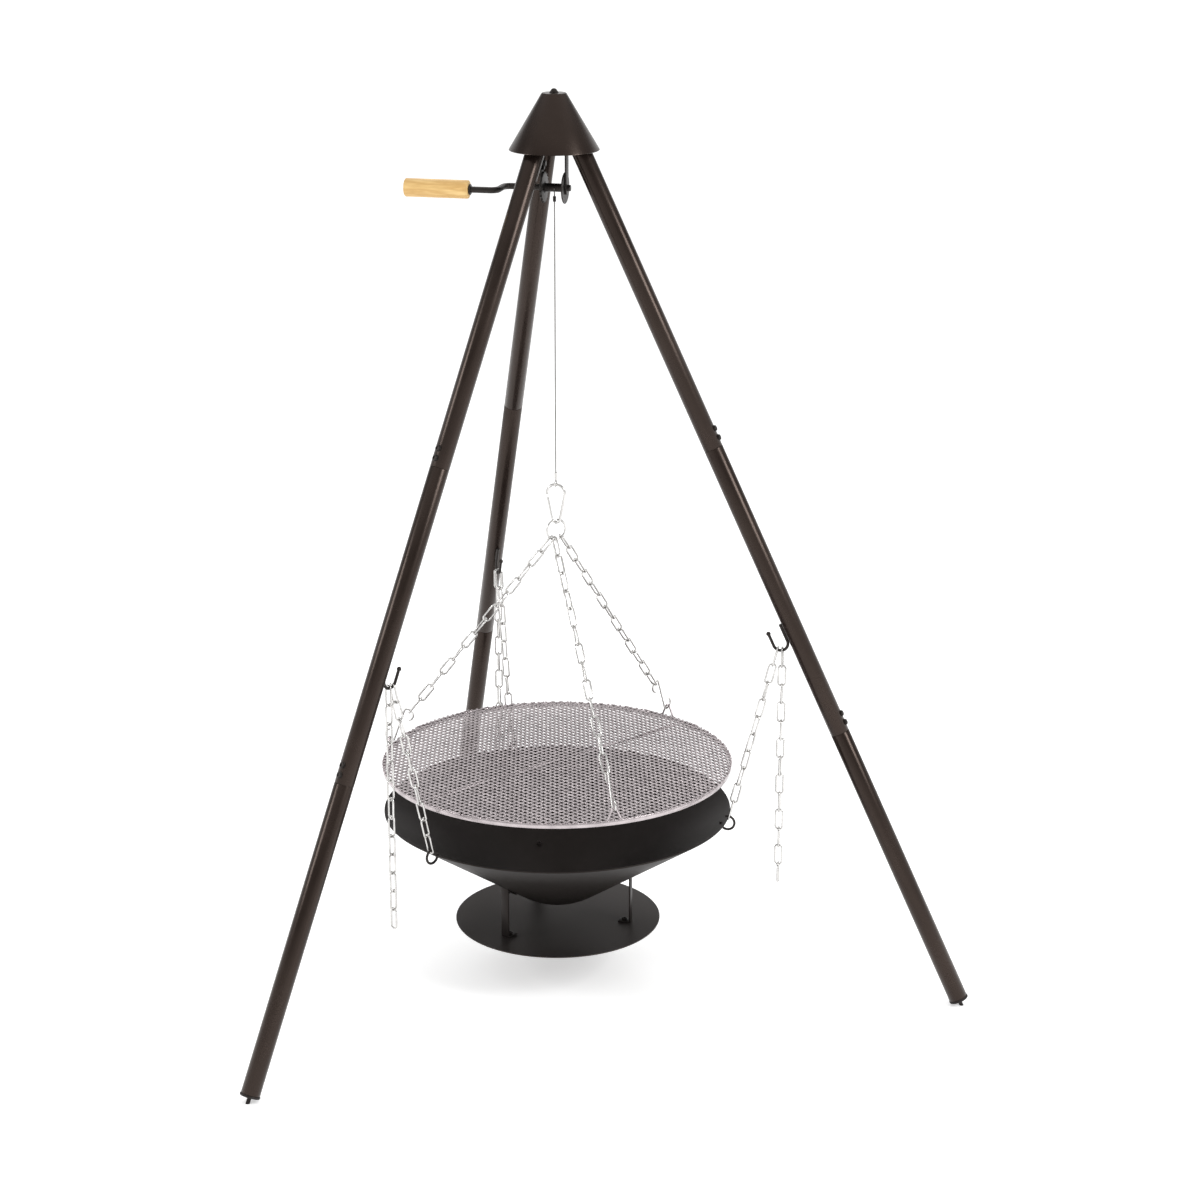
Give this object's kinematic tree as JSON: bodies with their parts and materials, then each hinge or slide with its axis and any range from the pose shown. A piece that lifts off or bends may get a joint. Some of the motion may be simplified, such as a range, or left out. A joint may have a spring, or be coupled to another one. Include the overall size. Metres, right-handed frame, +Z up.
{
  "type": "tripod grate",
  "caption": "Campfire tripod with a crank winch that raises and lowers a round chain-hung cooking grate over a hanging fire bowl.",
  "frame": {"origin": "centre of the bounding box in plan, on the ground that the foot pins stand on", "axes": "+Z up, -Y towards the side the crank's arm points to at rest, +X to the right seen from there"},
  "size_m": [1.4032, 1.416, 1.7833],
  "materials": {
    "powder_coat": "satin brown-black powder coat",
    "black_steel": "blackened steel",
    "foot_plastic": "matte",
    "zinc": "bright zinc plate",
    "grate_chrome": "chrome plate",
    "bowl_coat": "matt black heat-resistant coat",
    "grip_wood": "plain turned light wood"
  },
  "bodies": {
    "stand": {"leg_right_lower": "powder_coat", "leg_right_middle": "powder_coat", "leg_right_upper": "powder_coat", "leg_right_lower_bolts": "black_steel", "leg_right_upper_bolts": "black_steel", "foot_right": "foot_plastic", "leg_hook_right": "black_steel", "leg_back_lower": "powder_coat", "leg_back_middle": "powder_coat", "leg_back_upper": "powder_coat", "leg_back_lower_bolts": "black_steel", "leg_back_upper_bolts": "black_steel", "foot_back": "foot_plastic", "leg_hook_back": "black_steel", "leg_left_lower": "powder_coat", "leg_left_middle": "powder_coat", "leg_left_upper": "powder_coat", "leg_left_lower_bolts": "black_steel", "leg_left_upper_bolts": "black_steel", "foot_left": "foot_plastic", "leg_hook_left": "black_steel", "cap": "powder_coat", "cap_nut": "black_steel", "head_hub": "black_steel", "winch_yoke": "black_steel", "yoke_nut": "black_steel", "pawl_pin": "black_steel", "cable_stop": "black_steel", "fire_bowl": "bowl_coat", "base_disc": "bowl_coat", "bowl_chain_right": "zinc", "bowl_chain_back": "zinc", "bowl_chain_left": "zinc", "bowl_hook_right": "black_steel", "bowl_hook_back": "black_steel", "bowl_hook_left": "black_steel", "bracket_right": "bowl_coat", "bracket_back": "bowl_coat", "bracket_left": "bowl_coat"},
    "winder": {"crank": "black_steel", "cable_drum": "black_steel", "ratchet_wheel": "black_steel"},
    "grip": {"grip": "grip_wood"},
    "pawl": {"pawl": "black_steel"},
    "line": {"cable": "zinc"},
    "grill": {"cable_ferrule": "zinc", "carabiner_body": "zinc", "lift_ring": "zinc", "grate_chain_left": "zinc", "grate_chain_right": "zinc", "grate_chain_front": "zinc", "s_hook_left": "zinc", "s_hook_right": "zinc", "s_hook_front": "zinc", "grate_frame": "grate_chrome", "grate_mesh": "grate_chrome"},
    "gate": {"carabiner_gate": "zinc"},
    "tail_right": {"chain_tail_right": "zinc"},
    "tail_back": {"chain_tail_back": "zinc"},
    "tail_left": {"chain_tail_left": "zinc"}
  },
  "joints": [
    {"name": "hoist", "type": "slide", "parent": "stand", "child": "line", "axis": [0, 0, 1], "range_m": [-0.06, 0.4], "deforming": ["cable"]},
    {"name": "crank_turn", "type": "hinge", "parent": "stand", "child": "winder", "pos_m": [-0.11036, -0.08963, 1.5965], "axis": [-0.9703, 0.2419, 0], "range_deg": [-380, 2490]},
    {"name": "grip_spin", "type": "hinge", "parent": "winder", "child": "grip", "pos_m": [-0.12487, -0.14785, 1.5965], "axis": [-0.9703, 0.2419, 0], "continuous": true},
    {"name": "pawl_lift", "type": "hinge", "parent": "stand", "child": "pawl", "pos_m": [-0.11036, -0.08963, 1.6415], "axis": [-0.9703, 0.2419, 0], "range_deg": [0, 28]},
    {"name": "grill_spin", "type": "hinge", "parent": "line", "child": "grill", "pos_m": [-0.11267, -0.0989, 1.045], "axis": [0, 0, 1], "continuous": true},
    {"name": "gate_open", "type": "hinge", "parent": "grill", "child": "gate", "pos_m": [-0.12081, -0.09672, 0.95345], "axis": [0.2588, 0.9659, 0], "range_deg": [0, 22], "stiffness_Nm_per_rad": 0.05, "springref_deg": -11.46},
    {"name": "tail_right_sway", "type": "hinge", "parent": "stand", "child": "tail_right", "pos_m": [0.32573, -0.2082, 0.71455], "axis": [0.2419, 0.9703, 0], "range_deg": [-18, 0]},
    {"name": "tail_back_sway", "type": "hinge", "parent": "stand", "child": "tail_back", "pos_m": [-0.23721, 0.33542, 0.71455], "axis": [-0.9613, -0.2756, 0], "range_deg": [-18, 0]},
    {"name": "tail_left_sway", "type": "hinge", "parent": "stand", "child": "tail_left", "pos_m": [-0.42653, -0.42391, 0.71455], "axis": [0.7193, -0.6947, 0], "range_deg": [-18, 0]}
  ],
  "couplings": [
    {"joint": "crank_turn", "follows": "hoist", "rad_per_m": 108.11}
  ]
}
